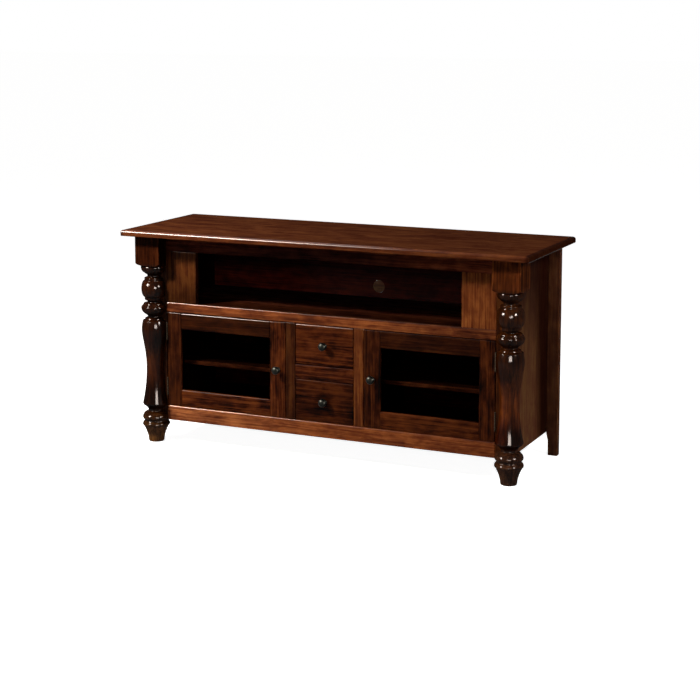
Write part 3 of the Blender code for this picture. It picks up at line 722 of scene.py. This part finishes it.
top_board()
for node, (gloss, edge) in RAIL_COATS.items():
    board(node, "cabinet", RAIL, "X", gloss=gloss, edge=edge, shade=PAINTED_SHADES[node], relief=0.05)
board("drawer_rail", "cabinet", DRAWER, "X", contrast=0.8, gloss=0.025, edge=0.08)
for label in SIDES:
    for start, (gloss, edge) in STILE_COATS.items():
        node = start + label
        board(node, "cabinet", STILE, "Z", contrast=0.48, gloss=gloss, edge=edge, shade=PAINTED_SHADES.get(node))
    shelf = "door_shelf_" + label
    housing = grown(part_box(shelf), HALF_SEAM, high=(0, HOUSING_OVERRUN, 0))
    board(
        "side_panel_" + label, "cabinet", SIDE, "Z", cuts=(housing,), contrast=0.22, gloss=0.0125,
        shade=PAINTED_SHADES["side_panel"],
    )
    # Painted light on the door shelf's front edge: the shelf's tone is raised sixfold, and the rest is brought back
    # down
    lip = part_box(shelf)[0][1]
    shade = fade(ALONG_Y, lip + 0.002, even(1.0), lip + 0.003, even(SHELF_FACE_TONE))
    board(shelf, "cabinet", INNER, "X", gloss=0.0, edge=0.0, shade=shade)
board("media_shelf", "cabinet", INNER, "X", gloss=0.004, shade=PAINTED_SHADES["media_shelf"])


# Painted backdrop in the cable hole: a disc in place of the shaded background seen through it

PAINTED_BACKDROP_RADIUS = 0.0229
PAINTED_BACKDROP_ROUNDING = 0.0008
PAINTED_BACKDROP_INSET = 0.0004
PAINTED_BACKDROP_X, PAINTED_BACKDROP_Z = 0.028, 0.5533
PAINTED_BACKDROP_FACETS = 48


def hole_painted_disc():
    """A pale wooden disc that fills the hole in the back panel: painted backdrop, in place of the dim, shaded
    background seen through the hole.
    """
    low, high = (Vector(corner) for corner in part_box("back_panel"))
    half = (high.y - low.y) / 2 - PAINTED_BACKDROP_INSET
    face = PAINTED_BACKDROP_RADIUS - PAINTED_BACKDROP_ROUNDING
    profile = [
        (0, half), (face, half), (PAINTED_BACKDROP_RADIUS, half - PAINTED_BACKDROP_ROUNDING),
        (PAINTED_BACKDROP_RADIUS, PAINTED_BACKDROP_ROUNDING - half), (face, -half), (0, -half),
    ]
    matrix = Matrix.Translation((PAINTED_BACKDROP_X, (low.y + high.y) / 2, PAINTED_BACKDROP_Z)) @ Matrix.Rotation(math.pi / 2, 4, "X")
    painted_disc = lathe_object("cable_hole_painted_disc", profile, PAINTED_BACKDROP_FACETS, matrix)
    painted_disc.data.materials.append(wood("cable_hole_plug_wood", PAINTED_BACKDROP, "X", 0.2, 0.4, 0.010, 0.04))
    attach(smooth(painted_disc), "cabinet")


hole_painted_disc()


# Legs

LEG_SIDE = 0.098
LEG_FACETS = 96
LEG_EDGE_RADIUS = 0.0018
LEG_CORNER_OVERRUN = 0.0015
LEG_CREASE_RADIUS = 0.0024
LEG_CREASE_ANGLE = 24
LEG_CREASE_STEPS = 4
LEG_SMOOTH_ANGLE = 32
LEG_CUT_BOTTOM, LEG_CUT_TOP = -0.01, 0.8
NOTCH_BOTTOM = 0.08185
NOTCH_REACH = 0.1
BLOCK_BOTTOM = 0.661
SHOULDER = 0.645
SHOULDER_RADIUS = 0.440
SHOULDER_STEPS = 8
FALL_POWER = 0.78
# Form, its end as a share of the way down from the shoulder, its radius there and a bead's largest, in leg sides
LEG_TURNING = (
    ("bead", 0.0390, 0.370, 0.478), ("cove", 0.0560, 0.252), ("step", 0.0630, 0.252), ("cove", 0.0710, 0.360),
    ("step", 0.0850, 0.362), ("bead", 0.1780, 0.362, 0.478), ("step", 0.1920, 0.360), ("cove", 0.2030, 0.258),
    ("step", 0.2080, 0.258), ("cove", 0.2125, 0.370), ("step", 0.2130, 0.402), ("step", 0.2195, 0.409),
    ("round", 0.2280, 0.450), ("step", 0.2285, 0.455), ("bead", 0.2680, 0.385, 0.479), ("cove", 0.2850, 0.257),
    ("step", 0.2900, 0.257), ("cove", 0.2960, 0.320), ("step", 0.2965, 0.352), ("step", 0.3020, 0.360),
    ("cove", 0.3120, 0.442), ("round", 0.3628, 0.486), ("fall", 0.5752, 0.328),
    ("flare", 0.7798, 0.484), ("cove", 0.8150, 0.292), ("step", 0.8250, 0.285), ("step", 0.8290, 0.330),
    ("bead", 0.8720, 0.424, 0.484), ("step", 0.8800, 0.424), ("step", 0.8850, 0.440), ("bead", 0.9080, 0.466, 0.500),
    ("round", 0.9960, 0.288), ("step", 1.0000, 0.262),
)
LEG_STEPS = {"step": 1, "bead": 16, "cove": 8, "round": 8, "fall": 16, "flare": 16}


def leg_profile():
    """The leg's outline as in the CAD source, with more points on each form, small fillets and a fuller foot."""
    radius = SHOULDER_RADIUS * LEG_SIDE
    corner = LEG_SIDE / math.sqrt(2) + LEG_CORNER_OVERRUN
    points = []
    for step in range(SHOULDER_STEPS + 1):
        turn = math.pi / 2 * step / SHOULDER_STEPS
        height = BLOCK_BOTTOM - (BLOCK_BOTTOM - SHOULDER) * math.sin(turn)
        points.append((radius + (corner - radius) * math.cos(turn), height))
    start = 0
    for form, end, end_share, *peak in LEG_TURNING:
        change = end_share * LEG_SIDE - radius
        for step in range(1, LEG_STEPS[form] + 1):
            part = step / LEG_STEPS[form]
            down = part
            ease = {
                "cove": (1 - math.cos(math.pi * part)) / 2,
                "round": math.sin(math.pi / 2 * part),
                "fall": (1 - math.cos(math.pi * part ** FALL_POWER)) / 2,
                "flare": part ** 2,
            }.get(form, part)
            here = radius + change * ease
            if form == "bead":
                down = (1 - math.cos(math.pi * part)) / 2
                here = radius + change * down + (peak[0] * LEG_SIDE - radius - change / 2) * math.sin(math.pi * part)
            points.append((here, SHOULDER * (1 - start - (end - start) * down)))
        start = end
        radius += change
    return points


def softened(points):
    """points with each sharp corner between them rounded a little."""
    result = [points[0]]
    for before, corner, after in zip(points, points[1:], points[2:]):
        before, corner, after = Vector(before), Vector(corner), Vector(after)
        inward, outward = before - corner, after - corner
        if inward.angle(-outward, 0) < math.radians(LEG_CREASE_ANGLE):
            result.append(tuple(corner))
            continue
        first = corner + inward.normalized() * min(LEG_CREASE_RADIUS, inward.length * 0.45)
        last = corner + outward.normalized() * min(LEG_CREASE_RADIUS, outward.length * 0.45)
        for step in range(LEG_CREASE_STEPS + 1):
            part = step / LEG_CREASE_STEPS
            here = first * (1 - part) ** 2 + corner * 2 * part * (1 - part) + last * part ** 2
            result.append((here.x, here.y))
    return result + [points[-1]]


def front_leg(label, side):
    """A turning cut square by its block's faces, and notched for the corner of the carcass."""
    node = "front_leg_" + label
    low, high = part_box(node)
    axis = Vector(((low[0] + high[0]) / 2, (low[1] + high[1]) / 2, 0))
    outline = softened(leg_profile())
    profile = [(0, high[2]), (outline[0][0], high[2])] + outline + [(0, 0)]
    matrix = Matrix.Translation(axis) @ Matrix.Rotation(math.pi / 4, 4, "Z")
    leg = lathe_object(node + "_turning", profile, LEG_FACETS, matrix)
    reach = LEG_SIDE / 2
    prism = box_object(
        node + "_prism",
        (axis.x - reach, axis.y - reach, LEG_CUT_BOTTOM), (axis.x + reach, axis.y + reach, LEG_CUT_TOP),
    )
    round_edges(prism, LEG_EDGE_RADIUS)
    inner = sorted((axis.x + side * HALF_SEAM, axis.x - side * NOTCH_REACH))
    notch = box_object(
        node + "_notch",
        (inner[0], axis.y - HALF_SEAM, NOTCH_BOTTOM), (inner[1], axis.y + NOTCH_REACH, LEG_CUT_TOP),
    )
    cut(leg, prism, "INTERSECT")
    cut(leg, notch)
    finish = turned_wood(node + "_wood", LEG_TONES[label], LEG_PAINTED_SHADES[label])
    finish_piece(smooth(baked(leg, prism, notch), LEG_SMOOTH_ANGLE), node, "cabinet", finish)


for label, side in SIDES.items():
    front_leg(label, side)


FOOT_TAPER = 0.006
FOOT_TOP, FOOT_TAPER_HEIGHT = 0.082, 0.034
FOOT_STEPS = 12
POST_EDGE_RADIUS = 0.003


def rear_leg(node, side):
    """A flat post with rounded edges, whose foot narrows on its inner side."""
    low, high = (Vector(corner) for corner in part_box(node))
    inner, outer = (low.x, high.x) if side > 0 else (high.x, low.x)
    outline = [(outer, 0), (outer, high.z), (inner, high.z)]
    for step in range(FOOT_STEPS + 1):
        part = step / FOOT_STEPS
        taper = side * FOOT_TAPER * (1 - math.cos(math.pi * part)) / 2
        outline.append((inner + taper, FOOT_TOP - FOOT_TAPER_HEIGHT * part))
    outline.append((inner + side * FOOT_TAPER, 0))
    mesh = bpy.data.meshes.new(node)
    shape = bmesh.new()
    front = [shape.verts.new((x, low.y, z)) for x, z in outline]
    back = [shape.verts.new((x, high.y, z)) for x, z in outline]
    shape.faces.new(front)
    shape.faces.new(back)
    for n, corner in enumerate(front):
        after = (n + 1) % len(front)
        shape.faces.new((corner, front[after], back[after], back[n]))
    bmesh.ops.recalc_face_normals(shape, faces=shape.faces)
    shape.to_mesh(mesh)
    shape.free()
    item = new_object(node + "_post", mesh)
    round_edges(item, POST_EDGE_RADIUS)
    item = smooth(baked(item))
    finish_piece(item, node, "cabinet", wood(node + "_wood", REAR_LEG, "Z", 0.3, gloss=0.0125))


for label, side in SIDES.items():
    rear_leg("rear_leg_" + label, side)


# Doors

KNOB_FACETS = 48
KNOB_SMOOTH_ANGLE = 60
KNOB_REACH = 0.85
KNOB_SHARES = (  # distance from the board, up to KNOB_REACH, and radius, in knob diameters
    (0.850, 0.000), (0.847, 0.090), (0.838, 0.180), (0.822, 0.265), (0.798, 0.340), (0.765, 0.402), (0.725, 0.449),
    (0.680, 0.480), (0.630, 0.496), (0.580, 0.500), (0.535, 0.494), (0.500, 0.474), (0.474, 0.438), (0.452, 0.385),
    (0.425, 0.320), (0.390, 0.260), (0.345, 0.220), (0.290, 0.198), (0.235, 0.190), (0.180, 0.197), (0.135, 0.218),
    (0.105, 0.250), (0.095, 0.290), (0.085, 0.320), (0.065, 0.342), (0.040, 0.350), (0.000, 0.350), (0.000, 0.000),
)
REBATE_OVERRUN = 0.01


def knob(node, body):
    """A mushroom knob with a rounded cap on a waisted neck."""
    low, high = (Vector(corner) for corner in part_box(node))
    size = high.x - low.x
    length = (high.y - low.y) / KNOB_REACH
    profile = [(radius * size, out * length) for out, radius in KNOB_SHARES]
    place = Matrix.Translation(((low.x + high.x) / 2, high.y, (low.z + high.z) / 2))
    item = lathe_object(node + "_turning", profile, KNOB_FACETS, place @ Matrix.Rotation(math.pi / 2, 4, "X"))
    finish_piece(smooth(item, KNOB_SMOOTH_ANGLE), node, body, knob_metal)


for label in SIDES:
    body = label + "_door"
    pane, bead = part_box(body + "_glass"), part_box(body + "_glass_beads")
    rebate = (
        (bead[0][0] - HALF_SEAM, pane[0][1] - HALF_SEAM, bead[0][2] - HALF_SEAM),
        (bead[1][0] + HALF_SEAM, bead[1][1] + REBATE_OVERRUN, bead[1][2] + HALF_SEAM),
    )
    for part in ("_inner_stile", "_outer_stile"):
        board(body + part, body, DOOR, "Z", cuts=(rebate,), contrast=0.75)
    board(body + "_bottom_rail", body, DOOR, "X", cuts=(rebate,), contrast=0.95, edge=0.06)
    radius, edge = (FULL_EDGE_RADIUS, 0.46) if label == "left" else (EDGE_RADIUS, 0.21)
    board(body + "_top_rail", body, DOOR, "X", radius, cuts=(rebate,), contrast=0.6, edge=edge)
    knob(body + "_knob", body)


# Drawers

for body, radius, edge in (("upper_drawer", FULL_EDGE_RADIUS, 0.95), ("lower_drawer", EDGE_RADIUS, 0.08)):
    groove = grown(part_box(body + "_bottom"), HALF_SEAM)
    board(body + "_front", body, DRAWER, "X", radius, cuts=(groove,), contrast=0.85, edge=edge)
    knob(body + "_knob", body)


# CAD pieces that keep their shape

def dress(node, material):
    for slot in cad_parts[node].material_slots:
        slot.material = material


for node in ("bottom_board", "stop_rail", "drawer_divider"):
    dress(node, inner_wood)
dress("back_panel", back_wood)
for label in SIDES:
    dress("partition_" + label, inner_upright_wood)
    dress(f"{label}_door_glass", pane_glass)
    dress(f"{label}_door_glass_beads", bead_wood)
    for level in ("lower", "upper"):
        dress(f"{label}_door_{level}_hinge_leaf", hinge_metal)
        dress(f"{label}_frame_{level}_hinge_leaf", hinge_metal)
for level in ("upper", "lower"):
    for node in ("side_left", "side_right"):
        dress(f"{level}_drawer_{node}", box_wood)
    for node in ("back", "bottom"):
        dress(f"{level}_drawer_{node}", box_cross_wood)
